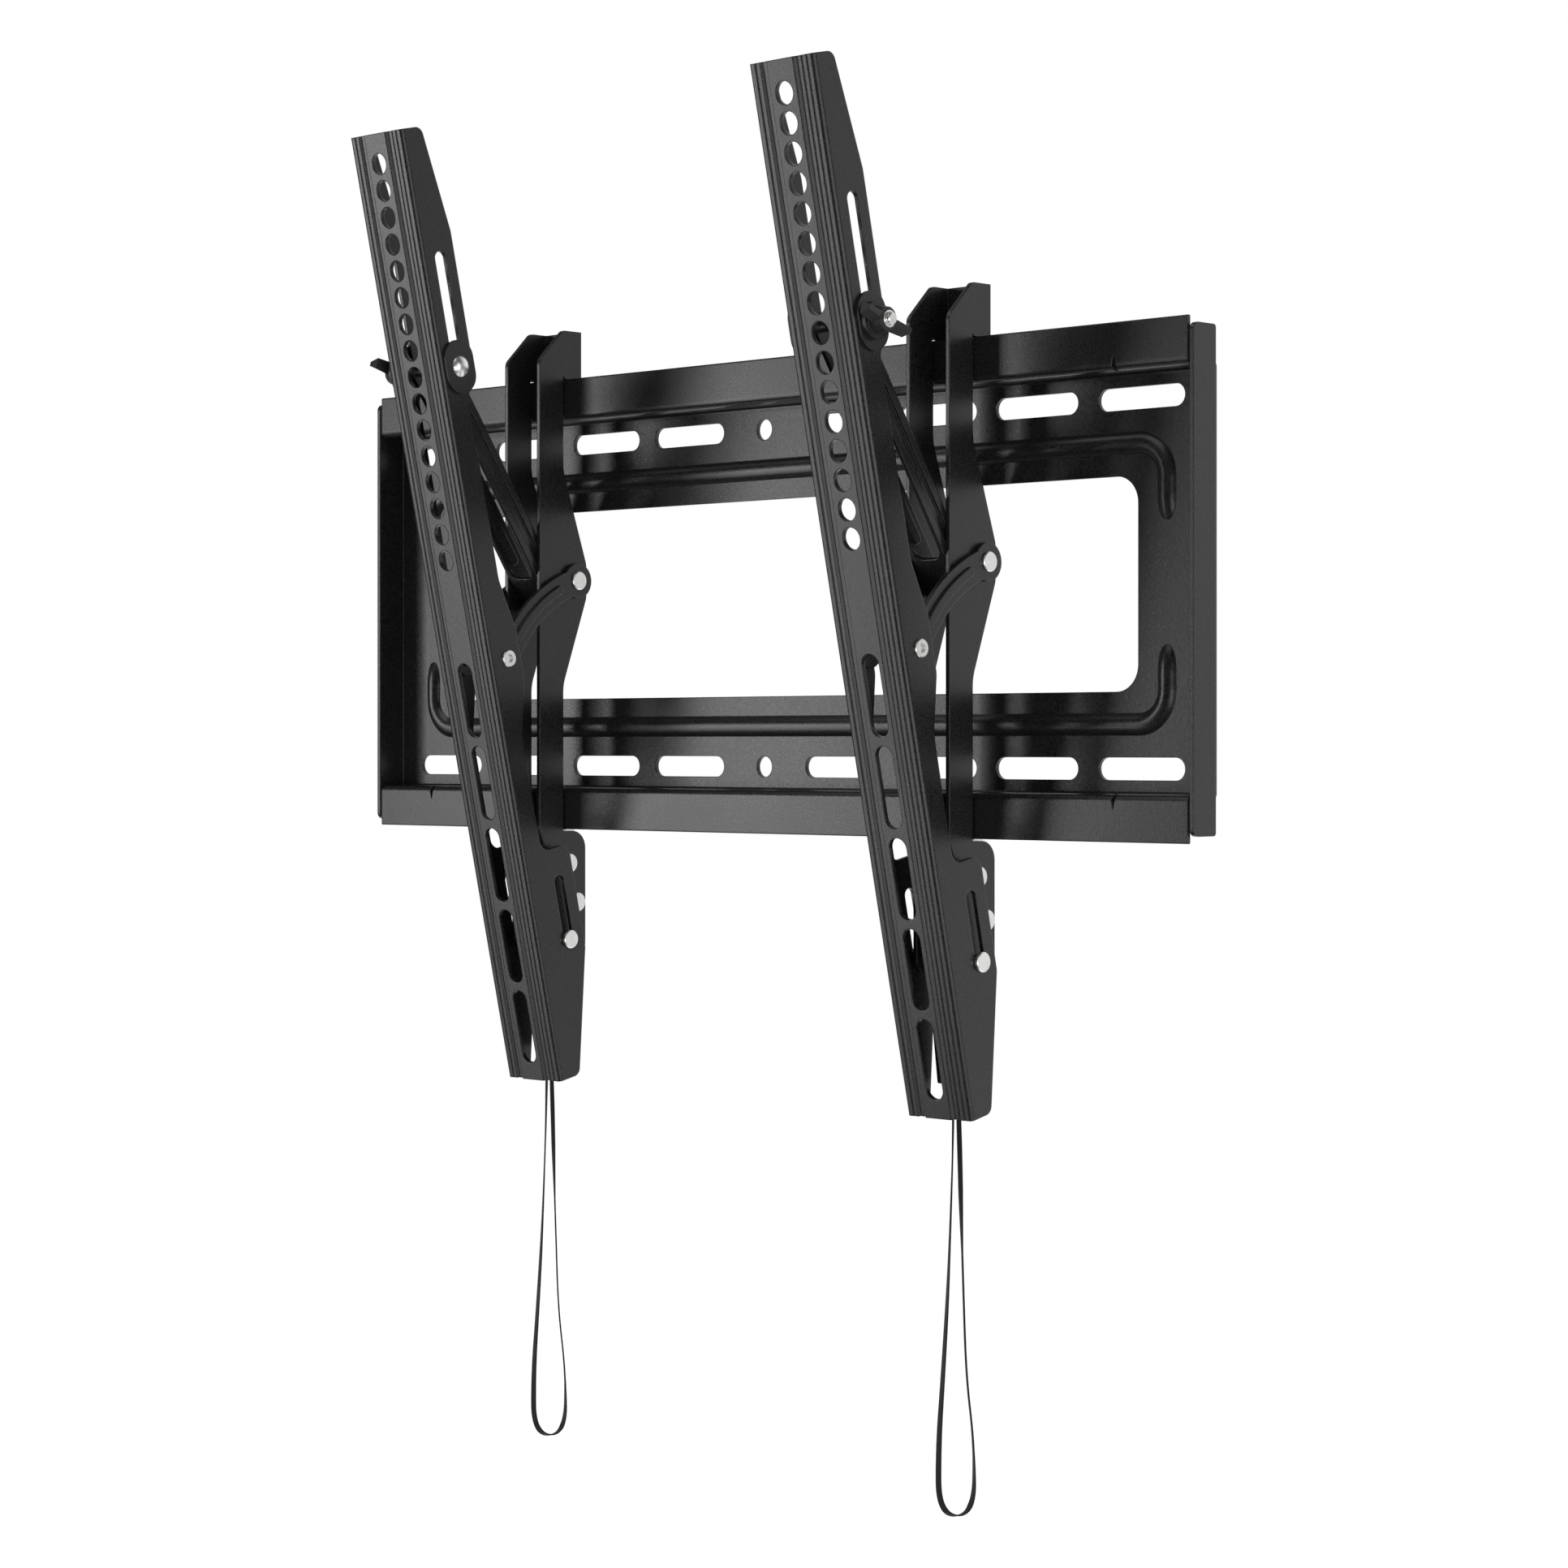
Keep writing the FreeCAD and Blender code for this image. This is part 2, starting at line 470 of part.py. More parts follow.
def rail_upright():
    """Rail standing upright with its top front edge at the origin, before it is tilted."""
    rail = Part.Face(rail_section()).extrude(Z_AXIS * -RAIL_LENGTH)
    ear_top = ARM_BOLT_PLACE - FLANGE_EAR_RISE
    ear_foot = ARM_BOLT_PLACE + FLANGE_EAR_RISE
    slope = FLANGE_SHOULDER_DEPTH - FLANGE_WAIST_DEPTH
    ear_run = 2 * FLANGE_EAR_RISE
    corners = [
        (0, -SHEET, 0), (0, FLANGE_TOP_DEPTH, 4.0), (FLANGE_SHOULDER_PLACE, FLANGE_SHOULDER_DEPTH, 12.0),
        (FLANGE_NOTCH_PLACE, FLANGE_SHOULDER_DEPTH, 3.0),
        (FLANGE_NOTCH_PLACE + slope, FLANGE_WAIST_DEPTH, 4.0),
        (ear_top - ear_run, FLANGE_WAIST_DEPTH, 20.0), (ear_top, FLANGE_EAR_DEPTH, 12.0),
        (ear_foot, FLANGE_EAR_DEPTH, 12.0), (ear_foot + ear_run, FLANGE_CALF_DEPTH, 20.0),
        (FLANGE_WING_PLACE, FLANGE_CALF_DEPTH, 5.0), (FLANGE_WING_PLACE, FLANGE_WING_DEPTH, 6.0),
        (FLANGE_WING_END, FLANGE_WING_DEPTH, 8.0), (RAIL_LENGTH, FLANGE_TOE_DEPTH, 4.0),
        (RAIL_LENGTH, -SHEET, 0)]
    edge = RAIL_HALF_WIDTH + SHEET
    wire = rounded_wire(corners, lambda place, depth: FreeCAD.Vector(-edge, depth, -place))
    rail = rail.common(Part.Face(wire).extrude(X_AXIS * 2 * edge))
    cutters = []
    for i in range(RAIL_HOLE_COUNT):
        place = RAIL_HOLE_FIRST + i * RAIL_HOLE_PITCH
        centre = FreeCAD.Vector(0, -SHEET, -place)
        cutters.append(Part.makeCylinder(RAIL_HOLE_RADIUS, 3 * SHEET, centre, Y_AXIS))
    for i in range(RAIL_SLOT_COUNT):
        top = RAIL_SLOT_FIRST + i * RAIL_SLOT_PITCH
        radius = RAIL_HOLE_RADIUS - 1e-4
        sides = ((-RAIL_HOLE_RADIUS, top), (RAIL_HOLE_RADIUS, top),
                 (RAIL_HOLE_RADIUS, top + RAIL_SLOT_LENGTH), (-RAIL_HOLE_RADIUS, top + RAIL_SLOT_LENGTH))
        ends = [(x, s, radius) for x, s in sides]
        wire = rounded_wire(ends, lambda x, s: FreeCAD.Vector(x, -SHEET, -s))
        cutters.append(Part.Face(wire).extrude(Y_AXIS * 3 * SHEET))
    for top, bottom, width, depth in (
            (TILT_SLOT_TOP, TILT_SLOT_BOTTOM, TILT_SLOT_WIDTH, TILT_SLOT_DEPTH),
            (PIN_SLOT_TOP, PIN_SLOT_BOTTOM, PIN_SLOT_WIDTH, PIN_SLOT_DEPTH)):
        half = width / 2
        sides = ((top, depth - half), (bottom, depth - half), (bottom, depth + half), (top, depth + half))
        ends = [(s, w, half - 1e-4) for s, w in sides]
        wire = rounded_wire(ends, lambda s, w: FreeCAD.Vector(-edge, w, -s))
        cutters.append(Part.Face(wire).extrude(X_AXIS * 2 * edge))
    bolt = FreeCAD.Vector(-edge, ARM_BOLT_DEPTH, -ARM_BOLT_PLACE)
    cutters.append(Part.makeCylinder(ARM_BOLT_RADIUS + PIN_FIT, 2 * edge, bolt, X_AXIS))
    return rail.cut(cutters)


def tv_rail():
    """The rail at full tilt."""
    rail = rail_upright()
    rail.rotate(FreeCAD.Vector(0, 0, 0), X_AXIS, TILT)
    out, z = rail_point(0, 0)
    return rail.translated(FreeCAD.Vector(0, -out, z))


def curved_arm():
    """Ribbed link on one side of the channel, from the hook bracket's pivot to the rail's bolt."""
    start = FreeCAD.Vector(0, -ARM_PIVOT_OUT, ARM_PIVOT_Z)
    bolt_out, bolt_z = rail_point(ARM_BOLT_PLACE, ARM_BOLT_DEPTH)
    bolt = FreeCAD.Vector(0, -bolt_out, bolt_z)
    reach = (bolt - start).normalize()
    side = FreeCAD.Vector(0, reach.z, -reach.y)
    end = bolt - reach * ARM_EYE_SHIFT - side * ARM_EYE_DROP
    chord = (end - start).normalize()
    up = FreeCAD.Vector(0, chord.z, -chord.y)
    span = start.distanceToPoint(end)
    radius = (span ** 2 / 4 + ARM_BOW ** 2) / (2 * ARM_BOW)
    centre = (start + end) * 0.5 + up * (ARM_BOW - radius)
    swing = math.asin(span / 2 / radius)

    def on_arc(share, offset):
        angle = (2 * share - 1) * swing
        return centre + (up * math.cos(angle) + chord * math.sin(angle)) * (radius + offset)

    def band(share_from, share_to, half, x_low, height):
        middle = (share_from + share_to) / 2
        outer = [on_arc(share, half) for share in (share_from, middle, share_to)]
        inner = [on_arc(share, -half) for share in (share_to, middle, share_from)]
        wire = Part.Wire([
            Part.Arc(*outer).toShape(), Part.LineSegment(outer[2], inner[0]).toShape(),
            Part.Arc(*inner).toShape(), Part.LineSegment(inner[2], outer[0]).toShape()])
        return Part.Face(wire).translated(X_AXIS * x_low).extrude(X_AXIS * height)

    def disc(point, disc_radius, x_low, height):
        return Part.makeCylinder(disc_radius, height, point + X_AXIS * x_low, X_AXIS)

    arm = joined(
        band(0, 1, ARM_WIDTH / 2, ARM_INNER, SHEET),
        disc(start, ARM_EYE_RADIUS, ARM_INNER, SHEET), disc(end, ARM_END_RADIUS, ARM_INNER, SHEET))
    half = ARM_RIB_WIDTH / 2
    ridge = joined(
        band(ARM_RIB_START, ARM_RIB_STOP, half, ARM_OUTER - ARM_RIB_HEIGHT, 2 * ARM_RIB_HEIGHT),
        disc(on_arc(ARM_RIB_START, 0), half, ARM_OUTER - ARM_RIB_HEIGHT, 2 * ARM_RIB_HEIGHT),
        disc(on_arc(ARM_RIB_STOP, 0), half, ARM_OUTER - ARM_RIB_HEIGHT, 2 * ARM_RIB_HEIGHT))
    crest = ARM_OUTER + ARM_RIB_HEIGHT
    rim = [edge for edge in ridge.Edges if abs(edge.BoundBox.XMin - crest) < 1e-6]
    ridge = ridge.makeChamfer(ARM_RIB_CHAMFER, rim)
    groove = ridge.translated(X_AXIS * -SHEET)
    free = ARM_BOLT_RADIUS + ARM_EYE_FREE
    eye = rounded_wire(
        [(a, b, free - 1e-4) for a, b in (
            (-ARM_EYE_TRAVEL - free, -free), (free, -free), (free, free), (-ARM_EYE_TRAVEL - free, free))],
        lambda a, b: bolt + reach * a + side * b)
    eye = Part.Face(eye).extrude(X_AXIS * 2 * RAIL_HALF_WIDTH)
    hole = disc(start, ARM_RIVET_RADIUS + PIN_FIT, 0, 2 * RAIL_HALF_WIDTH)
    return joined(arm, ridge).cut([groove, hole, eye])


def tilt_bolt_point():
    """Distance from the wall and height of the tilt bolt."""
    return rail_point(TILT_BOLT_PLACE, TILT_SLOT_DEPTH)


def brace_lean():
    """Length of the brace between its pivots, and its lean from upright in degrees."""
    out, z = tilt_bolt_point()
    run, rise = out - BRACE_PIVOT_OUT, z - BRACE_PIVOT_Z
    return math.hypot(run, rise), math.degrees(math.atan2(run, rise))


def brace():
    """U-shaped stamping: two grooved arms joined by a web low down on their front edges."""
    length, lean = brace_lean()
    half = BRACE_WIDTH / 2
    arm = side_plate([
        (-half, -half, half - 0.1), (half, -half, half - 0.1),
        (half, length + half, half - 0.1), (-half, length + half, half - 0.1)], BRACE_INNER, BRACE_OUTER)
    rise = BRACE_GROOVE_DEPTH
    from_x = BRACE_OUTER - BRACE_SHEET - rise
    groove_half = BRACE_GROOVE_WIDTH / 2
    rib_ends = [
        (-groove_half, BRACE_GROOVE_START), (groove_half, BRACE_GROOVE_START),
        (groove_half, length - BRACE_GROOVE_STOP), (-groove_half, length - BRACE_GROOVE_STOP)]
    rib = side_plate([(a, b, groove_half - 1e-3) for a, b in rib_ends], from_x, BRACE_INNER + rise)
    groove = rib.translated(X_AXIS * (BRACE_OUTER - BRACE_INNER))
    arms = []
    for part_arm in both_walls(joined(arm, rib).cut(groove)):
        arms.append(part_arm)
    corner = BRACE_WEB_CORNER
    web_wire = rounded_wire([
        (-BRACE_OUTER, -half, 0), (BRACE_OUTER, -half, 0), (BRACE_OUTER, BRACE_WEB_TOP + corner, 0),
        (BRACE_INNER, BRACE_WEB_TOP + corner, 0), (BRACE_INNER, BRACE_WEB_TOP, corner),
        (-BRACE_INNER, BRACE_WEB_TOP, corner), (-BRACE_INNER, BRACE_WEB_TOP + corner, 0),
        (-BRACE_OUTER, BRACE_WEB_TOP + corner, 0)], lambda x, z: FreeCAD.Vector(x, -half, z))
    web = Part.Face(web_wire).extrude(Y_AXIS * BRACE_SHEET)
    trim = side_plate([
        (-half, -half, half - 0.1), (half, -half, half - 0.1), (half, length, 0), (-half, length, 0)],
        -BRACE_OUTER, BRACE_OUTER)
    body = joined(arms[0], arms[1], web.common(trim))
    for radius, z in ((BRACE_PIN_RADIUS, 0), (TILT_BOLT_RADIUS, length)):
        body = body.cut(cross_rod(radius + PIN_FIT, -HOOK_HALF_WIDTH, HOOK_HALF_WIDTH, 0, z))
    body.rotate(FreeCAD.Vector(0, 0, 0), X_AXIS, lean)
    return body.translated(FreeCAD.Vector(0, -BRACE_PIVOT_OUT, BRACE_PIVOT_Z))


def arm_rivets():
    """Shouldered rivets that hold the curved arms on the channel."""
    shank = cross_rod(ARM_RIVET_RADIUS, HOOK_INNER, ARM_OUTER + PIN_FIT, ARM_PIVOT_OUT, ARM_PIVOT_Z)
    low = ARM_OUTER + PIN_FIT
    head = cross_rod(ARM_RIVET_HEAD_RADIUS, low, low + ARM_RIVET_HEAD, ARM_PIVOT_OUT, ARM_PIVOT_Z)
    rim = [edge for edge in head.Edges if abs(edge.BoundBox.XMin - low - ARM_RIVET_HEAD) < 1e-6]
    return Part.makeCompound(both_walls(joined(shank, head.makeChamfer(ARM_RIVET_HEAD / 3, rim))))


def arm_bolts():
    """Socket-head bolts through the rail's flanges into the arms' lower eyes."""
    out, z = rail_point(ARM_BOLT_PLACE, ARM_BOLT_DEPTH)
    low = RAIL_HALF_WIDTH
    shank = cross_rod(ARM_BOLT_RADIUS, ARM_INNER, low, out, z)
    head = cross_rod(ARM_BOLT_HEAD_RADIUS, low, low + ARM_BOLT_HEAD, out, z)
    rim = [edge for edge in head.Edges if abs(edge.BoundBox.XMin - low - ARM_BOLT_HEAD) < 1e-6]
    head = head.makeChamfer(ARM_BOLT_HEAD / 3, rim)
    hexagon = [
        FreeCAD.Vector(low + ARM_BOLT_HEAD - ARM_BOLT_SOCKET_DEPTH,
                       -out + ARM_BOLT_SOCKET * math.cos(math.radians(60 * i)),
                       z + ARM_BOLT_SOCKET * math.sin(math.radians(60 * i))) for i in range(7)]
    socket = Part.Face(Part.makePolygon(hexagon)).extrude(X_AXIS * 2 * ARM_BOLT_HEAD)
    return Part.makeCompound(both_walls(joined(shank, head).cut(socket)))


def slot_pin():
    """Headed pin across the foot of the channel, which runs in the rail's lower slots."""
    reach = RAIL_HALF_WIDTH + SIDE_GAP
    shank = cross_rod(SLOT_PIN_RADIUS, -reach, reach, SLOT_PIN_OUT, SLOT_PIN_Z)
    head = cross_rod(SLOT_PIN_HEAD_RADIUS, reach, reach + SLOT_PIN_HEAD, SLOT_PIN_OUT, SLOT_PIN_Z)
    rim = [edge for edge in head.Edges if abs(edge.BoundBox.XMin - reach - SLOT_PIN_HEAD) < 1e-6]
    return joined(shank, *both_walls(head.makeChamfer(SLOT_PIN_HEAD / 4, rim)))


def slot_bushes():
    """Sleeves on the slot pin, between the channel and the pin's heads."""
    low = HOOK_HALF_WIDTH + SIDE_GAP / 2
    high = RAIL_HALF_WIDTH + SIDE_GAP / 2
    sleeve = cross_rod(PIN_SLOT_WIDTH / 2 - PIN_FIT, low, high, SLOT_PIN_OUT, SLOT_PIN_Z)
    bore = cross_rod(SLOT_PIN_RADIUS + PIN_FIT, low, high, SLOT_PIN_OUT, SLOT_PIN_Z)
    return Part.makeCompound(both_walls(sleeve.cut(bore)))


def brace_pin():
    """Pin across the channel that the brace turns on."""
    return cross_rod(BRACE_PIN_RADIUS, -HOOK_HALF_WIDTH, HOOK_HALF_WIDTH, BRACE_PIVOT_OUT, BRACE_PIVOT_Z)


def tilt_bolt():
    """Domed bolt through both flanges and the brace; its end stands out of the knob."""
    out, z = tilt_bolt_point()
    seat = RAIL_HALF_WIDTH + WASHER_SHEET
    shank = cross_rod(TILT_BOLT_RADIUS, -seat, TILT_BOLT_END, out, z)
    tip = [edge for edge in shank.Edges if abs(edge.BoundBox.XMin - TILT_BOLT_END) < 1e-6]
    shank = shank.makeChamfer(TILT_BOLT_RADIUS / 5, tip)
    radius = (TILT_BOLT_HEAD_RADIUS ** 2 + TILT_BOLT_HEAD ** 2) / (2 * TILT_BOLT_HEAD)
    ball = Part.makeSphere(radius, FreeCAD.Vector(radius - seat - TILT_BOLT_HEAD, -out, z))
    head = ball.common(cross_rod(2 * radius, -seat - TILT_BOLT_HEAD, -seat, out, z))
    return joined(shank, head)


def tilt_spacers():
    """Sleeves on the tilt bolt that keep the flanges apart."""
    out, z = tilt_bolt_point()
    sleeve = cross_rod(SPACER_RADIUS, BRACE_OUTER, RAIL_INNER - PIN_FIT, out, z)
    bore = cross_rod(TILT_BOLT_RADIUS + PIN_FIT, BRACE_OUTER, RAIL_INNER, out, z)
    return Part.makeCompound(both_walls(sleeve.cut(bore)))


def clamp_washer(x_low):
    """Oval washer that lies along the rail's flange."""
    out, z = tilt_bolt_point()
    half, reach = WASHER_WIDTH / 2, WASHER_LENGTH / 2
    washer = side_plate([
        (-half, -reach, half - 0.1), (half, -reach, half - 0.1), (half, reach, half - 0.1),
        (-half, reach, half - 0.1)], x_low, x_low + WASHER_SHEET)
    washer = washer.cut(cross_rod(TILT_BOLT_RADIUS + PIN_FIT, x_low, x_low + WASHER_SHEET, 0, 0))
    washer.rotate(FreeCAD.Vector(0, 0, 0), X_AXIS, TILT)
    return washer.translated(FreeCAD.Vector(0, -out, z))


def head_washer():
    """Oval washer under the bolt's head."""
    return clamp_washer(-RAIL_HALF_WIDTH - WASHER_SHEET)


def knob_washer():
    """Oval washer under the knob."""
    return clamp_washer(RAIL_HALF_WIDTH)


def wing_knob():
    """Plastic knob: round base, tapered hub and two tapering wings."""
    out, z = tilt_bolt_point()
    seat = RAIL_HALF_WIDTH + WASHER_SHEET + PIN_FIT
    at = FreeCAD.Vector(seat, -out, z)
    base = Part.makeCylinder(KNOB_BASE_RADIUS, KNOB_BASE, at, X_AXIS)
    hub = Part.makeCone(KNOB_HUB_RADIUS, KNOB_TIP_RADIUS, KNOB_HEIGHT, at, X_AXIS)
    top = seat + KNOB_HEIGHT
    wings = []
    for side in (-1, 1):
        root, tip = KNOB_WING_ROOT / 2, KNOB_WING_TIP / 2
        low, rise = seat + KNOB_WING_BASE, top + KNOB_WING_RISE
        reach = side * KNOB_WING_REACH
        at_hub = Part.makePolygon([FreeCAD.Vector(x, 0, w) for x, w in (
            (low, -root), (top, -root * KNOB_WING_TAPER), (top, root * KNOB_WING_TAPER), (low, root),
            (low, -root))])
        at_tip = Part.makePolygon([FreeCAD.Vector(x, reach, w) for x, w in (
            (low + KNOB_WING_RISE, -tip), (rise, -tip * KNOB_WING_TAPER), (rise, tip * KNOB_WING_TAPER),
            (low + KNOB_WING_RISE, tip), (low + KNOB_WING_RISE, -tip))])
        wings.append(Part.makeLoft([at_hub, at_tip], True, True))
    blade = joined(wings[0], wings[1])
    blade.rotate(FreeCAD.Vector(0, 0, 0), X_AXIS, KNOB_TURN)
    knob = joined(base, hub, blade.translated(FreeCAD.Vector(0, -out, z)))
    socket = top - KNOB_INSERT_LENGTH + KNOB_INSERT_RISE - PIN_FIT
    return knob.cut([
        cross_rod(TILT_BOLT_RADIUS + PIN_FIT, 0, TILT_BOLT_END, out, z),
        cross_rod(KNOB_INSERT_RADIUS + PIN_FIT, socket, TILT_BOLT_END, out, z)])


def knob_insert():
    """Metal nut moulded into the knob, standing a little above it."""
    out, z = tilt_bolt_point()
    top = RAIL_HALF_WIDTH + WASHER_SHEET + PIN_FIT + KNOB_HEIGHT + KNOB_INSERT_RISE
    ring = cross_rod(KNOB_INSERT_RADIUS, top - KNOB_INSERT_LENGTH, top, out, z)
    return ring.cut(cross_rod(TILT_BOLT_RADIUS + PIN_FIT, top - KNOB_INSERT_LENGTH, top, out, z))


def latch_slider():
    """Folded carrier with guide slots, spring shelf and strap tab."""
    flange = side_plate([
        (SLIDER_BACK, SLIDER_TOP, 2.0), (SLIDER_FRONT, SLIDER_TOP, 1.0), (SLIDER_FRONT, SLIDER_WIDE_END, 3.0),
        (SLIDER_NECK_FRONT, SLIDER_WIDE_END, 2.0), (SLIDER_NECK_FRONT, SLIDER_NECK_END, 2.0),
        (SLIDER_HIP_FRONT, SLIDER_NECK_END, 3.0), (SLIDER_TOE_FRONT, SLIDER_BOTTOM, 1.0),
        (SLIDER_BACK, SLIDER_BOTTOM, 2.0)], SLIDER_INNER, SLIDER_HALF)
    cutters = []
    for out, z in GUIDE_PLACES:
        half = GUIDE_RADIUS + SIDE_GAP / 2
        ends = ((out - half, z - half), (out + half, z - half),
                (out + half, z + half + LATCH_TRAVEL), (out - half, z + half + LATCH_TRAVEL))
        cutters.append(side_plate([(a, b, half - 1e-4) for a, b in ends], 0, RAIL_HALF_WIDTH))
    flange = flange.cut(cutters)
    web = box(-SLIDER_HALF, SLIDER_HALF, -SLIDER_BACK - SLIDER_SHEET, -SLIDER_BACK, SLIDER_BOTTOM,
              SLIDER_TOP - SLIDER_SHEET)
    shelf = box(-SLIDER_INNER, SLIDER_INNER, -SLIDER_FRONT, -SLIDER_BACK, SLIDER_SHELF_TOP - SLIDER_SHEET,
                SLIDER_SHELF_TOP)
    tab = box(-SLIDER_TAB_HALF, SLIDER_TAB_HALF, -SLIDER_TOE_FRONT, -SLIDER_BACK, SLIDER_BOTTOM,
              SLIDER_BOTTOM + SLIDER_SHEET)
    return joined(both_walls(flange)[0], both_walls(flange)[1], web, shelf, tab)


def latch_tongue():
    """Plated nose on top of the slider that catches behind the lower lip."""
    low, high = SLIDER_TOP, SLIDER_TOP + TONGUE_PLATE
    front = LIP_BACK - TONGUE_NOSE_GAP
    back = front - TONGUE_NOSE_SHEET
    nose = side_plate([
        (TONGUE_FRONT, high, 0.5), (TONGUE_FRONT, low, 0), (TONGUE_BACK, low, 0), (TONGUE_BACK, high, 0.5),
        (back, high, 0.5), (back, TONGUE_NOSE_TOP, 0.5), (front - 1.5, TONGUE_NOSE_TOP, 0.5),
        (front, high, 0)], -SLIDER_HALF, SLIDER_HALF)
    inner = SLIDER_INNER - PIN_FIT
    tail = box(-inner, inner, -SLIDER_FRONT, -SLIDER_FRONT + TONGUE_TAIL_SHEET, low - TONGUE_TAIL, low)
    return joined(nose, tail)


def latch_rivets():
    """Guide rivets in the foot of the channel, which the slider's slots run on."""
    rivets = []
    for out, z in GUIDE_PLACES:
        shank = cross_rod(GUIDE_RADIUS, SLIDER_INNER, HOOK_HALF_WIDTH, out, z)
        high = HOOK_HALF_WIDTH + GUIDE_HEAD
        head = cross_rod(GUIDE_HEAD_RADIUS, HOOK_HALF_WIDTH, high, out, z)
        rim = [edge for edge in head.Edges if abs(edge.BoundBox.XMin - high) < 1e-6]
        rivets += both_walls(joined(shank, head.makeChamfer(GUIDE_HEAD / 3, rim)))
    return Part.makeCompound(rivets)


def latch_spring():
    """Coil spring between the slider's shelf and the channel's foot."""
    low = HOOK_FOOT + SHEET + SPRING_WIRE
    high = SLIDER_SHELF_TOP - SLIDER_SHEET - SPRING_WIRE
    helix = Part.makeHelix((high - low) / SPRING_TURNS, high - low, SPRING_RADIUS)
    angles = [math.radians(60 * i) for i in range(7)]
    around = [(SPRING_WIRE * math.cos(angle), SPRING_WIRE * math.sin(angle)) for angle in angles]
    section = Part.makePolygon([FreeCAD.Vector(SPRING_RADIUS + a, 0, b) for a, b in around])
    coil = Part.Wire(helix.Edges).makePipeShell([section], True, True)
    return coil.translated(FreeCAD.Vector(0, -SPRING_OUT, low))


def pull_strap():
    """Webbing loop below the slider's tab: straight runs and tangent arcs, flat across its loop."""
    points = [FreeCAD.Vector(a, 0, b) for a, b in STRAP_ROUTE]
    edges, radii = [], []
    here = points[0]
    for before, corner, after in zip(points, points[1:], points[2:]):
        back, ahead = before - corner, after - corner
        share = STRAP_ARC_SHARE * min(back.Length, ahead.Length)
        half = back.getAngle(ahead) / 2
        radius = share * math.tan(half)
        back.normalize()
        ahead.normalize()
        start, end = corner + back * share, corner + ahead * share
        inward = (back + ahead).normalize()
        middle = corner + inward * (radius / math.sin(half) - radius)
        edges.append(Part.LineSegment(here, start).toShape())
        edges.append(Part.Arc(start, middle, end).toShape())
        radii.append(radius)
        here = end
    edges.append(Part.LineSegment(here, points[-1]).toShape())
    path = Part.Wire(edges)
    first = (points[1] - points[0]).normalize()
    across = FreeCAD.Vector(-first.z, 0, first.x) * (STRAP_SHEET / 2)
    flat = Y_AXIS * (STRAP_WIDTH / 2)
    corners = [points[0] + across + flat, points[0] - across + flat, points[0] - across - flat,
               points[0] + across - flat, points[0] + across + flat]
    strap = path.makePipeShell([Part.makePolygon(corners)], True, False)
    print("strap length %.1f, volume over section times length %.4f" % (
        path.Length, strap.Volume / (STRAP_WIDTH * STRAP_SHEET * path.Length)))
    print("strap radii", [round(radius, 1) for radius in radii])
    strap.rotate(FreeCAD.Vector(0, 0, 0), Z_AXIS, STRAP_FACING)
    return strap.translated(FreeCAD.Vector(0, -STRAP_OUT, SLIDER_BOTTOM - PIN_FIT))


def save(name, shape):
    """Write one piece to its own file."""
    shape.exportStep("parts/%s.step" % name)
    print("%-24s volume %9.1f valid %s solids %d" % (name, shape.Volume, shape.isValid(), len(shape.Solids)))


def main():
    os.makedirs("parts", exist_ok=True)
    arm = curved_arm()
    outer_arm, inner_arm = both_walls(arm)
    pieces = {
        "hook_bracket": hook_bracket(), "tv_rail": tv_rail(), "curved_arm_outer": outer_arm,
        "curved_arm_inner": inner_arm, "brace": brace(), "arm_rivets": arm_rivets(),
        "arm_bolts": arm_bolts(), "slot_pin": slot_pin(), "slot_bushes": slot_bushes(),
        "brace_pin": brace_pin(), "tilt_bolt": tilt_bolt(), "tilt_spacers": tilt_spacers(),
        "head_washer": head_washer(), "knob_washer": knob_washer(), "wing_knob": wing_knob(),
        "knob_insert": knob_insert(), "latch_slider": latch_slider(), "latch_tongue": latch_tongue(),
        "latch_rivets": latch_rivets(), "latch_spring": latch_spring()}
    save("wall_plate", wall_plate())
    for name, shape in pieces.items():
        save(name + "_right", shape.translated(X_AXIS * BRACKET_RIGHT_X))
        mirrored = shape.mirror(FreeCAD.Vector(0, 0, 0), X_AXIS)
        save(name + "_left", mirrored.translated(X_AXIS * BRACKET_LEFT_X))
    strap = pull_strap()
    save("pull_strap_right", strap.translated(X_AXIS * BRACKET_RIGHT_X))
    save("pull_strap_left", strap.translated(X_AXIS * (BRACKET_LEFT_X + STRAP_LEFT_SWAY)))


main()
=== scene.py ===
import json
import math

import bmesh
import bpy
import numpy as np
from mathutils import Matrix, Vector


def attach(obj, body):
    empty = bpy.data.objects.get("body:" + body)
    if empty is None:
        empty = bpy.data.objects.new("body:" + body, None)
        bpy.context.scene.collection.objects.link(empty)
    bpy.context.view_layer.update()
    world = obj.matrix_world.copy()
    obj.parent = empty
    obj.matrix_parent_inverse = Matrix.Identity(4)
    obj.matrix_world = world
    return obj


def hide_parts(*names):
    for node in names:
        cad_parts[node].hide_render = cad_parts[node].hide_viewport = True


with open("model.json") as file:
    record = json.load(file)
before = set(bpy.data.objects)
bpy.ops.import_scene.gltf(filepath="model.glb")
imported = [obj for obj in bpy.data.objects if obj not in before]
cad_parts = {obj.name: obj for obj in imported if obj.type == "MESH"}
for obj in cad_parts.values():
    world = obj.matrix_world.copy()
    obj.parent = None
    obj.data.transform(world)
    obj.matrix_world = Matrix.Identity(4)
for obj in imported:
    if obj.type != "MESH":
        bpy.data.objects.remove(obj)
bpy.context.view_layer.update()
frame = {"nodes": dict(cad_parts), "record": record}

SCENE = bpy.context.scene
WHITE = (1, 1, 1, 1)

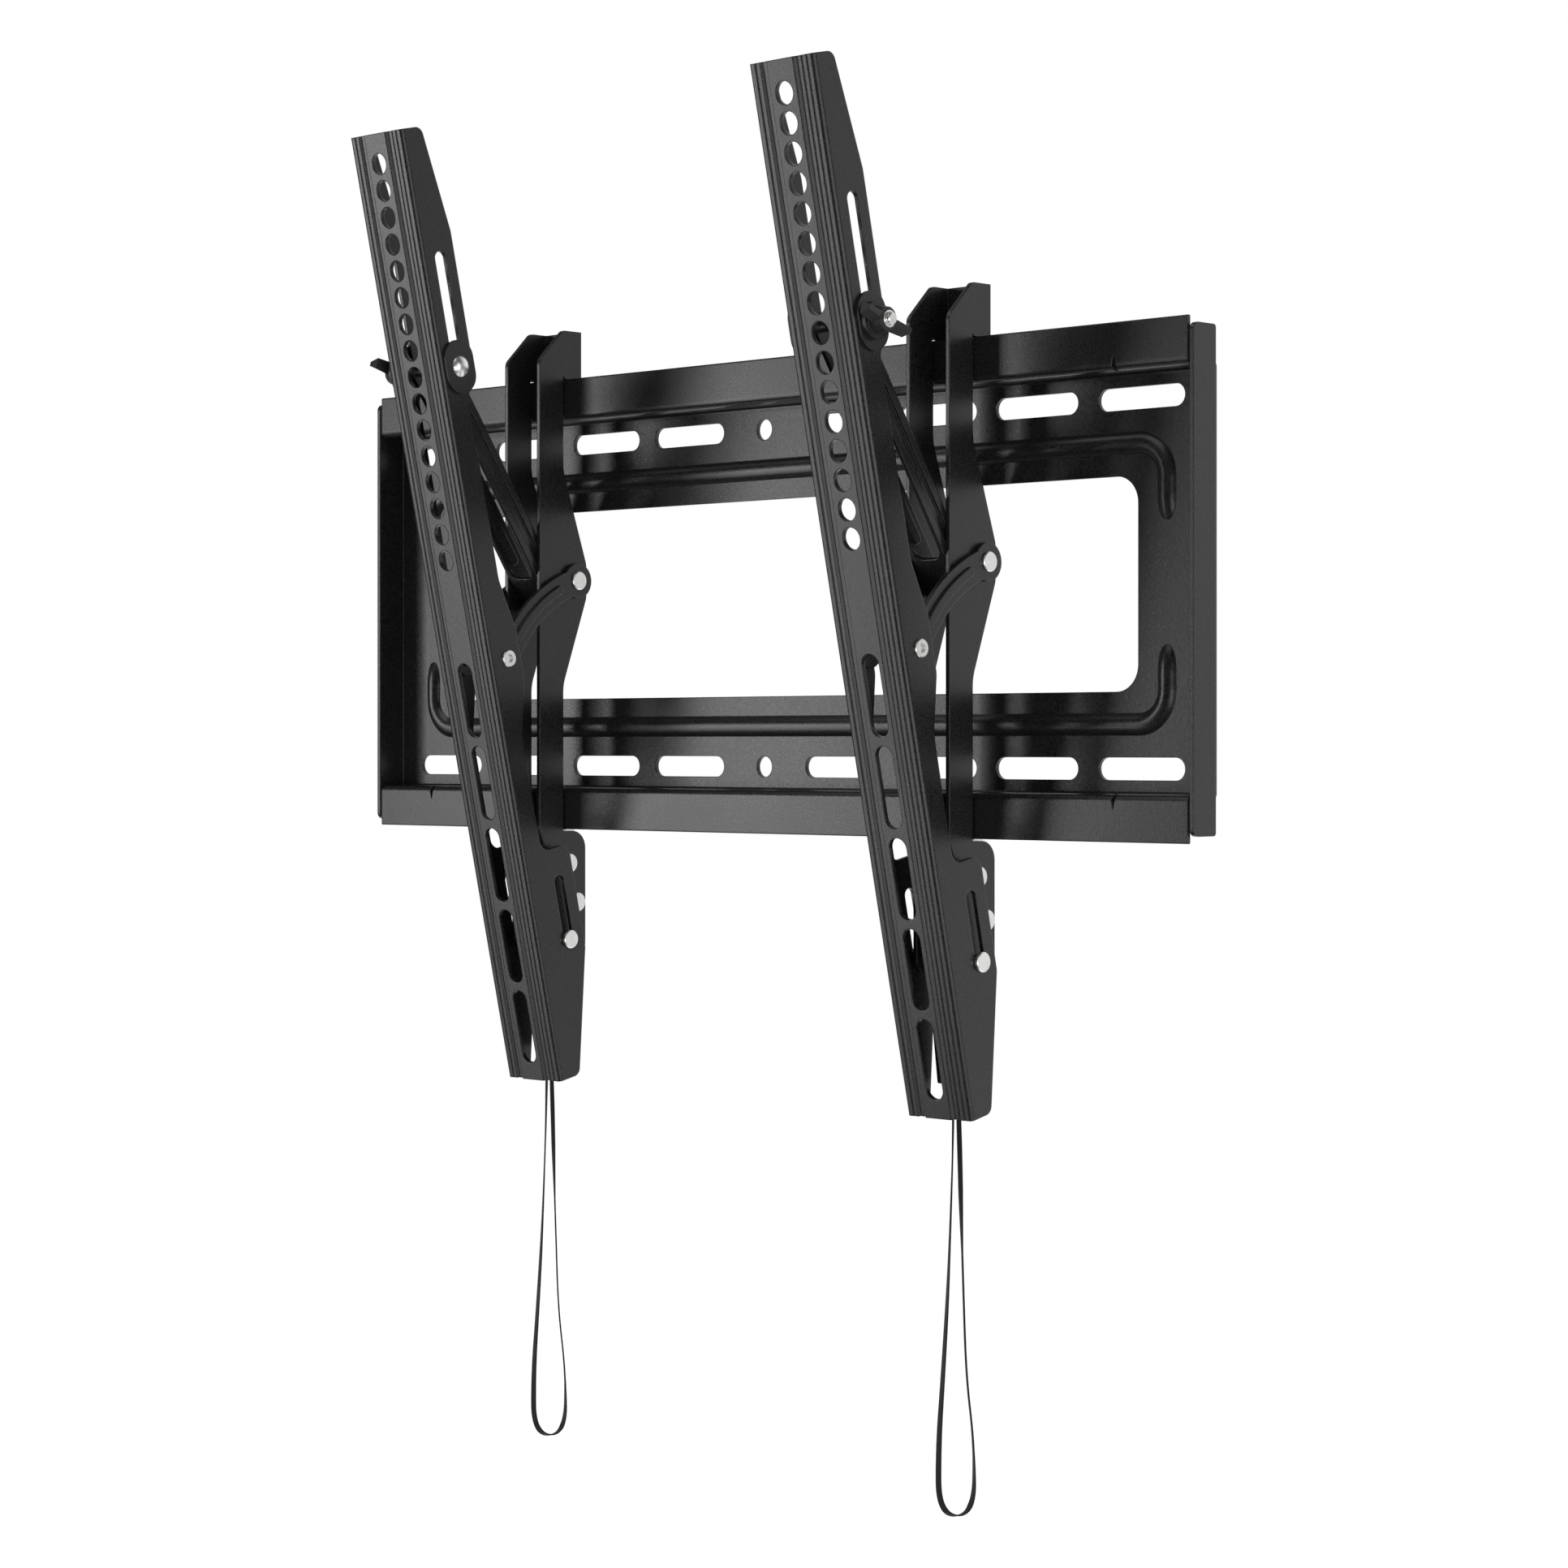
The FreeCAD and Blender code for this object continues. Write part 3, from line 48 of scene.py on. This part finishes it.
# The photograph's camera: level, in front of the mount and to its right
PHOTO_SIZE = 1932
CAMERA_PLACE = (1.113, -1.142, -0.065)
CAMERA_YAW = math.radians(44.0)
FOCAL_PIXELS = 4412.0
HORIZON_ROW = 917.0
SENSOR = 36.0
CLIP_END = 50.0

# Studio floor: its paint, the darker tone that its front has in reflections, and its glow to the camera
FLOOR_LEVEL = -1.05
FLOOR_SIZE = 9.0
FLOOR_PAINT = (0.86, 0.86, 0.86)
FLOOR_MIRRORED = (0.05, 0.05, 0.05)
FLOOR_GLOW = 0.70
# Share of the background that reflections see: from, to and least, by Y of the floor or of the direction
FLOOR_BEHIND = (-0.45, 0.25, 0.06)
WORLD_BEHIND = (0.10, 0.95, 0.03)
# Light of the world on the object: at the horizon, and more of it with height
WORLD_LIGHT = 0.30
WORLD_LIGHT_RISE = 0.20

# Lamps: place, target, width, height and power. The plate and the rails mirror the three keys on the left,
# one lights from above, and the bends and edges mirror the two on the right.
LAMPS = {
    "key_left": ((-1.31, -1.29, 0.13), (0, -0.05, 0.13), 0.60, 0.60, 5.4),
    "key_low": ((-1.31, -1.29, -0.60), (0, -0.05, -0.60), 0.58, 0.85, 4.7),
    "key_heart": ((-1.28, -1.26, -0.20), (0, -0.05, -0.20), 0.45, 0.70, 1.2),
    "top_soft": ((-0.3, -0.8, 1.35), (0, -0.05, 0), 1.8, 1.2, 8.8),
    "edge_right": ((1.7, -0.45, 0.05), (0.1, -0.05, 0.05), 0.6, 1.6, 9.0),
    "edge_low": ((1.6, -1.45, -0.52), (0.05, -0.05, -0.3), 1.0, 1.0, 9.0),
}

# Edges: rays per softened normal, and how fast the mask rises with the turn of that normal
EDGE_SAMPLES = 8
EDGE_RISE = 3.0

# Powder coat: noise scales per metre, and shares of grain, cloud and edges in its tone, gloss and relief;
# the lighter tone on edges is partly edge wear and partly a painted highlight
COAT_GRAIN = 1350.0
COAT_GRAIN_DETAIL = 0.6
COAT_PEEL = 380.0
COAT_CLOUD = 14.0
COAT_EDGE_RADIUS = 0.0007
COAT_TONE_AND_EDGE_WEAR_HIGHLIGHT_SHARES = (2.4, 0.2, 0.35)
COAT_TONE_START = 1.0
COAT_DARK = 0.4
COAT_LIGHT = (2.4, 2.4, 2.45)
COAT_GRAIN_GLOSS = 0.24
COAT_EDGE_GLOSS = 0.04
COAT_RELIEF = (0.75, 0.00007)
COAT_RELIEF_SHARES = (0.8, 0.4)

# Zinc plating
ZINC_SPANGLE = 900.0
ZINC_CLOUD = 260.0
ZINC_HAIR = 700.0
ZINC_HAIR_STRETCH = (1.0, 1.0, 14.0)
ZINC_EDGE_RADIUS = 0.0003
ZINC_TONE_SHARES = (0.8, 0.3, 0.3)
ZINC_TONE_START = 0.1
ZINC_GLOSS_SHARES = (0.16, 0.08)
ZINC_RELIEF = (0.15, 0.00003)
ZINC_RELIEF_SHARES = (0.6, 0.4)

# Moulded plastic
PLASTIC_GRAIN = 2600.0
PLASTIC_GRAIN_DETAIL = 0.7
PLASTIC_CLOUD = 120.0
PLASTIC_EDGE_RADIUS = 0.0004
PLASTIC_TONE_SHARE = 0.5
PLASTIC_DARK = 0.7
PLASTIC_LIGHT = 1.6
PLASTIC_GLOSS_SHARES = (0.12, 0.08, 0.05)
PLASTIC_RELIEF = (0.25, 0.00004)

# Webbing
YARN = 2400.0
YARN_DETAIL = 0.7
YARN_RELIEF = (0.5, 0.0001)
# Tone of the tape: shares of the painted shade between ribs and of the yarn, its start, and its dark and
# light ends
WEB_RIB_SHADE_AND_YARN_SHARES = (0.75, 0.5)
WEB_TONE_START = 0.25
WEB_DARK = (0.0025, 0.0025, 0.0027)
WEB_LIGHT = (0.021, 0.021, 0.022)
WEB_ROUGH = 0.92
WEB_CREST_GLOSS = 0.2

# Pull straps: the route in the loop's own plane, below the slider's tab
STRAP_WIDTH = 0.0026
STRAP_SHEET = 0.0008
STRAP_OUT = 0.0130
STRAP_TOP = -0.20755
STRAP_FACING = math.radians(44.0)
STRAP_ROUTE = (
    (-0.0021, 0.0), (-0.0024, -0.025), (-0.0033, -0.054), (-0.0046, -0.088), (-0.0066, -0.122),
    (-0.0085, -0.151), (-0.0084, -0.1803), (0.0064, -0.1803), (0.0065, -0.151), (0.0031, -0.122),
    (0.0020, -0.088), (0.0010, -0.054), (0.0004, -0.025), (-0.0004, 0.0))
STRAP_LINE_STEPS = 24
STRAP_LINE_ORDER = 3
# Twist of the tape: share of its length, and degrees from edge-on to the viewer
STRAP_TWIST = (
    (0.0, 18), (0.05, 12), (0.09, 2), (0.15, -5), (0.20, -12), (0.26, -26), (0.36, -42), (0.44, -66),
    (0.485, -72), (0.502, -10), (0.52, 50), (0.55, 26), (0.58, 10), (0.62, 6), (0.81, 6), (0.88, 40),
    (0.93, 46), (1.0, 38))
STRAP_PLACES = {"right": 0.1244, "left": -0.1283}
# The tape's section: a rounded oblong of so many corners, flattened by these powers
TAPE_CORNERS = 16
TAPE_SIDE_POWER = 0.25
TAPE_FACE_POWER = 0.4
# Ribs across the tape: pitch, rings of the mesh to each, depth in the thickness and in the width,
# and how the shade painted between them fades towards the woven edge, the selvage
RIB_PITCH = 0.00068
RINGS_PER_RIB = 4
RIB_DEPTH = 0.25
RIB_INSET = 0.04
SELVAGE_RISE = 4.0
RIB_SHADE_AT_SELVAGE = 0.3


class Link:
    """A socket of a node tree; arithmetic on it adds Math nodes."""

    def __init__(self, tree, socket=None):
        self.tree = tree
        self.socket = socket

    def node(self, kind, settings=None, inputs=None, output=0):
        """Adds a node, sets its own settings first, then its sockets' values or links."""
        made = self.tree.nodes.new("ShaderNode" + kind)
        for name, value in (settings or {}).items():
            setattr(made, name, value)
        for name, value in (inputs or {}).items():
            if isinstance(value, Link):
                self.tree.links.new(value.socket, made.inputs[name])
            else:
                made.inputs[name].default_value = value
        return Link(self.tree, made.outputs[output] if made.outputs else None)

    def _math(self, operation, first, second):
        return self.node("Math", {"operation": operation}, {0: first, 1: second})

    def __add__(self, other):
        return self._math("ADD", self, other)

    def __sub__(self, other):
        return self._math("SUBTRACT", self, other)

    def __rsub__(self, other):
        return self._math("SUBTRACT", other, self)

    def __mul__(self, other):
        return self._math("MULTIPLY", self, other)


def new_material(name):
    """An empty material and the link that its nodes start from."""
    material = bpy.data.materials.new(name)
    material.use_nodes = True
    material.node_tree.nodes.clear()
    return material, Link(material.node_tree)


def put_surface(start, inputs):
    """Ends a material in one Principled shader."""
    shader = start.node("BsdfPrincipled", None, inputs)
    start.node("OutputMaterial", None, {"Surface": shader})


def object_place(start):
    """Place in the object's own metres."""
    return start.node("TexCoord", None, None, "Object")


def clamped(start, value):
    """Value held between nought and one."""
    return start.node("Clamp", None, {"Value": value})


def mixed_colour(start, factor, dark, light):
    """Colour between two tones."""
    return start.node("Mix", {"data_type": "RGBA"}, {0: factor, 6: (*dark, 1), 7: (*light, 1)}, 2)


def noise(start, place, scale, detail=2.0, roughness=0.5):
    """Soft noise with this many periods to the metre."""
    return start.node("TexNoise", None, {
        "Vector": place, "Scale": scale, "Detail": detail, "Roughness": roughness})


def relief(start, strength_and_distance, height, normal=None):
    """Bump on a surface, or on a softened normal."""
    strength, distance = strength_and_distance
    inputs = {"Strength": strength, "Distance": distance, "Height": height}
    if normal:
        inputs["Normal"] = normal
    return start.node("Bump", None, inputs)


def edge_mask(start, radius):
    """The softened normal, and a mask that is nought on flats and rises on sharp edges."""
    soft = start.node("Bevel", {"samples": EDGE_SAMPLES}, {"Radius": radius})
    true = start.node("NewGeometry", None, None, "True Normal")
    flat = start.node("VectorMath", {"operation": "DOT_PRODUCT"}, {0: soft, 1: true}, "Value")
    return soft, (1 - flat) * EDGE_RISE


def powder_coat(name, tone, sheen_low, sheen_high):
    """Satin black powder coat: fine grain, soft unevenness, thinner and shinier on edges, where its
    lighter colour is partly wear and partly a painted highlight.
    """
    material, start = new_material(name)
    place = object_place(start)
    grain = noise(start, place, COAT_GRAIN, roughness=COAT_GRAIN_DETAIL)
    peel = noise(start, place, COAT_PEEL)
    cloud = noise(start, place, COAT_CLOUD)
    soft, edge = edge_mask(start, COAT_EDGE_RADIUS)
    edge = clamped(start, edge)
    # edges lighten the colour, partly as wear of the coat and partly as a painted highlight along them
    of_grain, of_cloud, of_edge = COAT_TONE_AND_EDGE_WEAR_HIGHLIGHT_SHARES
    light = clamped(start, grain * of_grain + cloud * of_cloud + edge * of_edge - COAT_TONE_START)
    colour = mixed_colour(
        start, light, [tone * COAT_DARK] * 3, [tone * channel for channel in COAT_LIGHT])
    unevenness = cloud * (sheen_high - sheen_low)
    gloss = grain * COAT_GRAIN_GLOSS + unevenness - edge * COAT_EDGE_GLOSS + (
        sheen_low - COAT_GRAIN_GLOSS / 2)
    of_grain, of_peel = COAT_RELIEF_SHARES
    bump = relief(start, COAT_RELIEF, grain * of_grain + peel * of_peel, soft)
    put_surface(start, {
        "Base Color": colour, "Roughness": gloss, "Normal": bump, "Specular IOR Level": 0.5})
    return material


def zinc_plate(name, dark, light, rough):
    """Bright zinc plating: faint spangle, hair-fine scratches and duller patches."""
    material, start = new_material(name)
    place = object_place(start)
    spangle = start.node("TexVoronoi", None, {"Vector": place, "Scale": ZINC_SPANGLE}, "Distance")
    cloud = noise(start, place, ZINC_CLOUD, 3.0)
    stretched = start.node("Mapping", None, {"Vector": place, "Scale": ZINC_HAIR_STRETCH})
    hair = noise(start, stretched, ZINC_HAIR)
    soft, edge = edge_mask(start, ZINC_EDGE_RADIUS)
    of_cloud, of_spangle, of_edge = ZINC_TONE_SHARES
    tint = clamped(start, cloud * of_cloud + spangle * of_spangle + edge * of_edge - ZINC_TONE_START)
    colour = mixed_colour(start, tint, dark, light)
    of_cloud, of_hair = ZINC_GLOSS_SHARES
    gloss = cloud * of_cloud + hair * of_hair + rough
    of_hair, of_spangle = ZINC_RELIEF_SHARES
    bump = relief(start, ZINC_RELIEF, hair * of_hair + spangle * of_spangle, soft)
    put_surface(start, {"Base Color": colour, "Metallic": 1.0, "Roughness": gloss, "Normal": bump})
    return material


def moulded_plastic(name, tone, rough):
    """Moulded black plastic with a spark-eroded grain and polished edges."""
    material, start = new_material(name)
    place = object_place(start)
    grain = noise(start, place, PLASTIC_GRAIN, roughness=PLASTIC_GRAIN_DETAIL)
    cloud = noise(start, place, PLASTIC_CLOUD)
    soft, edge = edge_mask(start, PLASTIC_EDGE_RADIUS)
    share = PLASTIC_TONE_SHARE
    tint = clamped(start, grain * share + cloud * share + edge * share)
    colour = mixed_colour(start, tint, [tone * PLASTIC_DARK] * 3, [tone * PLASTIC_LIGHT] * 3)
    of_grain, of_cloud, of_edge = PLASTIC_GLOSS_SHARES
    gloss = grain * of_grain + cloud * of_cloud - edge * of_edge + rough
    bump = relief(start, PLASTIC_RELIEF, grain, soft)
    put_surface(start, {"Base Color": colour, "Roughness": gloss, "Normal": bump})
    return material


def woven_webbing(name):
    """Black woven tape: painted shade in the gaps between its ribs, lighter crests, and fine yarn along
    them.
    """
    material, start = new_material(name)
    yarn = noise(start, object_place(start), YARN, 3.0, YARN_DETAIL)
    # the rib mask paints shade into the gaps between the ribs and lightens their crests; the yarn noise is
    # the tape's own uneven tone
    crest = start.node("Attribute", {"attribute_name": "rib_shade_mask"}, None, "Fac")
    of_painted_rib_shade, of_yarn = WEB_RIB_SHADE_AND_YARN_SHARES
    tint = clamped(start, crest * of_painted_rib_shade + yarn * of_yarn - WEB_TONE_START)
    put_surface(start, {
        "Base Color": mixed_colour(start, tint, WEB_DARK, WEB_LIGHT),
        "Roughness": WEB_ROUGH - crest * WEB_CREST_GLOSS, "Normal": relief(start, YARN_RELIEF, yarn),
        "Specular IOR Level": 0.25, "Sheen Weight": 0.25})
    return material


FINISHES = {
    "powder_coat": powder_coat("powder_coat", 0.0095, 0.27, 0.35),
    "zinc_plate": zinc_plate("zinc_plate", (0.70, 0.70, 0.69), (0.94, 0.94, 0.93), 0.20),
    "spring_steel": zinc_plate("spring_steel", (0.30, 0.30, 0.30), (0.55, 0.55, 0.54), 0.30),
    "knob_plastic": moulded_plastic("knob_plastic", 0.010, 0.36),
    "washer_plastic": moulded_plastic("washer_plastic", 0.009, 0.30),
    "bush_plastic": moulded_plastic("bush_plastic", 0.014, 0.42),
    "webbing": woven_webbing("webbing"),
}


def dress_nodes():
    """Gives every CAD node the finish of its slot."""
    for piece in frame["record"]["subparts"]:
        mesh = frame["nodes"][piece["node"]].data
        mesh.materials.clear()
        mesh.materials.append(FINISHES[piece["material_slot"]])


def smooth_line(name, points):
    """Points along the NURBS spline that has these control points."""
    curve = bpy.data.curves.new(name, "CURVE")
    curve.dimensions = "3D"
    curve.resolution_u = STRAP_LINE_STEPS
    spline = curve.splines.new("NURBS")
    spline.points.add(len(points) - 1)
    for point, place in zip(spline.points, points):
        point.co = (*place, 1)
    spline.order_u = STRAP_LINE_ORDER
    spline.use_endpoint_u = True
    carrier = bpy.data.objects.new(name, curve)
    SCENE.collection.objects.link(carrier)
    graph = bpy.context.evaluated_depsgraph_get()
    drawn = bpy.data.meshes.new_from_object(carrier.evaluated_get(graph))
    line = np.array([vertex.co for vertex in drawn.vertices])
    bpy.data.meshes.remove(drawn)
    bpy.data.objects.remove(carrier)
    bpy.data.curves.remove(curve)
    return line


def even_path(line):
    """Evenly spaced points along a line, a whole number of ribs long, with the way ahead at each."""
    steps = np.linalg.norm(np.diff(line, axis=0), axis=1)
    reach = np.concatenate(([0.0], np.cumsum(steps)))
    count = int(reach[-1] / RIB_PITCH) * RINGS_PER_RIB
    places = np.linspace(0, reach[-1], count + 1)
    path = np.stack([np.interp(places, reach, line[:, axis]) for axis in range(3)], axis=1)
    ahead = np.gradient(path, axis=0)
    ahead /= np.linalg.norm(ahead, axis=1)[:, None]
    return path, ahead


def tape_outline():
    """Corners of the tape's section, across its width and its thickness."""
    outline = []
    for corner in range(TAPE_CORNERS):
        angle = 2 * math.pi * corner / TAPE_CORNERS
        wide = math.copysign(abs(math.cos(angle)) ** TAPE_SIDE_POWER, math.cos(angle))
        thick = math.copysign(abs(math.sin(angle)) ** TAPE_FACE_POWER, math.sin(angle))
        outline.append((wide * STRAP_WIDTH / 2, thick * STRAP_SHEET / 2))
    return outline


def tape_mesh(name, path, ahead, across):
    """Ribbed and twisted tape along a path; its float layer is one on the ribs' crests and nought in the
    gaps, and masks the shade painted between the ribs.
    """
    outline = tape_outline()
    work = bmesh.new()
    rib_shade_mask = work.verts.layers.float.new("rib_shade_mask")
    rings = []
    for index, (place, forward) in enumerate(zip(path, ahead)):
        crest = 0.5 - 0.5 * math.cos(2 * math.pi * index / RINGS_PER_RIB)
        out = Vector(forward).cross(across).normalized()
        turn = math.radians(np.interp(index / (len(path) - 1), *zip(*STRAP_TWIST)))
        width_way = across * math.cos(turn) + out * math.sin(turn)
        sheet_way = out * math.cos(turn) - across * math.sin(turn)
        width_swell = (1 - RIB_INSET) + RIB_INSET * crest
        sheet_swell = (1 - RIB_DEPTH) + RIB_DEPTH * crest
        ring = []
        for wide, thick in outline:
            selvage = min(1.0, SELVAGE_RISE * (1 - abs(wide) / (STRAP_WIDTH / 2)))
            vertex = work.verts.new(
                Vector(place) + width_way * (wide * width_swell) + sheet_way * (thick * sheet_swell))
            # mask for the shade painted between the ribs, weaker near the selvage
            vertex[rib_shade_mask] = crest * (RIB_SHADE_AT_SELVAGE + (1 - RIB_SHADE_AT_SELVAGE) * selvage)
            ring.append(vertex)
        rings.append(ring)
    for low, high in zip(rings, rings[1:]):
        for corner in range(len(outline)):
            after = (corner + 1) % len(outline)
            work.faces.new((low[corner], low[after], high[after], high[corner])).smooth = True
    work.faces.new(rings[0])
    work.faces.new(list(reversed(rings[-1])))
    bmesh.ops.recalc_face_normals(work, faces=work.faces)
    mesh = bpy.data.meshes.new(name)
    work.to_mesh(mesh)
    work.free()
    return mesh


def pull_strap(side):
    """Ribbed webbing loop that hangs from the latch slider."""
    along = Vector((math.cos(STRAP_FACING), math.sin(STRAP_FACING), 0))
    across = Vector((-math.sin(STRAP_FACING), math.cos(STRAP_FACING), 0))
    top = Vector((STRAP_PLACES[side], -STRAP_OUT, STRAP_TOP))
    route = [top + along * a + Vector((0, 0, b)) for a, b in STRAP_ROUTE]
    path, ahead = even_path(smooth_line("strap_line", route))
    mesh = tape_mesh("pull_strap_" + side, path, ahead, across)
    strap = bpy.data.objects.new("webbing_loop_" + side, mesh)
    SCENE.collection.objects.link(strap)
    mesh.materials.append(FINISHES["webbing"])
    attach(strap, "latch_" + side)
    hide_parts("pull_strap_" + side)


def light_rays(start):
    """Links that are one for camera, glossy and transmission rays."""
    kinds = ("Is Camera Ray", "Is Glossy Ray", "Is Transmission Ray")
    return [start.node("LightPath", None, None, kind) for kind in kinds]


def share_behind(start, depth, limits):
    """Share of the white background that reflections see, which rises with its depth in Y."""
    low, high, least = limits
    return start.node("MapRange", {"interpolation_type": "SMOOTHSTEP"}, {
        "Value": depth, "From Min": low, "From Max": high, "To Min": least, "To Max": 1.0})


def white_world():
    """White to the camera, darker in front of the mount to reflections, and a soft light on the object."""
    world = bpy.data.worlds.new("studio_white")
    world.use_nodes = True
    world.node_tree.nodes.clear()
    SCENE.world = world
    start = Link(world.node_tree)
    way = start.node("TexCoord", None, None, "Generated")
    height = start.node("SeparateXYZ", None, {"Vector": way}, "Z")
    depth = start.node("SeparateXYZ", None, {"Vector": way}, "Y")
    camera, glossy, through = light_rays(start)
    seen = clamped(start, camera + through + glossy * share_behind(start, depth, WORLD_BEHIND))
    soft = (height * WORLD_LIGHT_RISE + WORLD_LIGHT) * (1 - glossy)
    strength = seen + (1 - camera) * (1 - through) * soft
    sky = start.node("Background", None, {"Color": WHITE, "Strength": strength})
    start.node("OutputWorld", None, {"Surface": sky})


def studio_floor():
    """Pale floor, well below the mount."""
    mesh = bpy.data.meshes.new("studio_floor")
    half = FLOOR_SIZE / 2
    corners = [(-half, -half), (half, -half), (half, half), (-half, half)]
    mesh.from_pydata([(x, y, FLOOR_LEVEL) for x, y in corners], [], [(0, 1, 2, 3)])
    floor = bpy.data.objects.new("studio_floor", mesh)
    SCENE.collection.objects.link(floor)
    material, start = new_material("studio_floor")
    spot = start.node("NewGeometry", None, None, "Position")
    depth = start.node("SeparateXYZ", None, {"Vector": spot}, "Y")
    camera, glossy, through = light_rays(start)
    behind = share_behind(start, depth, FLOOR_BEHIND)
    seen = clamped(start, camera + through + glossy * behind)
    shade = mixed_colour(start, glossy * (1 - behind), FLOOR_PAINT, FLOOR_MIRRORED)
    paint = start.node("BsdfDiffuse", None, {"Color": shade})
    glow = start.node("Emission", None, {"Color": WHITE, "Strength": seen * FLOOR_GLOW})
    both = start.node("AddShader", None, {0: paint, 1: glow})
    start.node("OutputMaterial", None, {"Surface": both})
    mesh.materials.append(material)


def softbox(name, place, target, width, height, power):
    """Rectangular lamp aimed at a point."""
    lamp = bpy.data.lights.new(name, "AREA")
    lamp.shape = "RECTANGLE"
    lamp.size = width
    lamp.size_y = height
    lamp.energy = power
    holder = bpy.data.objects.new(name, lamp)
    SCENE.collection.objects.link(holder)
    holder.location = place
    holder.rotation_euler = (Vector(target) - Vector(place)).to_track_quat("-Z", "Y").to_euler()
    holder.visible_camera = False


def photo_camera():
    """Camera that sees the mount as the photograph does."""
    lens = bpy.data.cameras.new("photo_camera")
    lens.sensor_width = SENSOR
    lens.lens = FOCAL_PIXELS * SENSOR / PHOTO_SIZE
    lens.shift_y = (HORIZON_ROW - PHOTO_SIZE / 2) / PHOTO_SIZE
    lens.clip_end = CLIP_END
    holder = bpy.data.objects.new("photo_camera", lens)
    SCENE.collection.objects.link(holder)
    holder.location = CAMERA_PLACE
    holder.rotation_euler = (math.pi / 2, 0, CAMERA_YAW)
    SCENE.camera = holder


dress_nodes()
for bracket_side in STRAP_PLACES:
    pull_strap(bracket_side)
white_world()
studio_floor()
for lamp_name, lamp_values in LAMPS.items():
    softbox(lamp_name, *lamp_values)
photo_camera()
SCENE.view_settings.view_transform = "Standard"
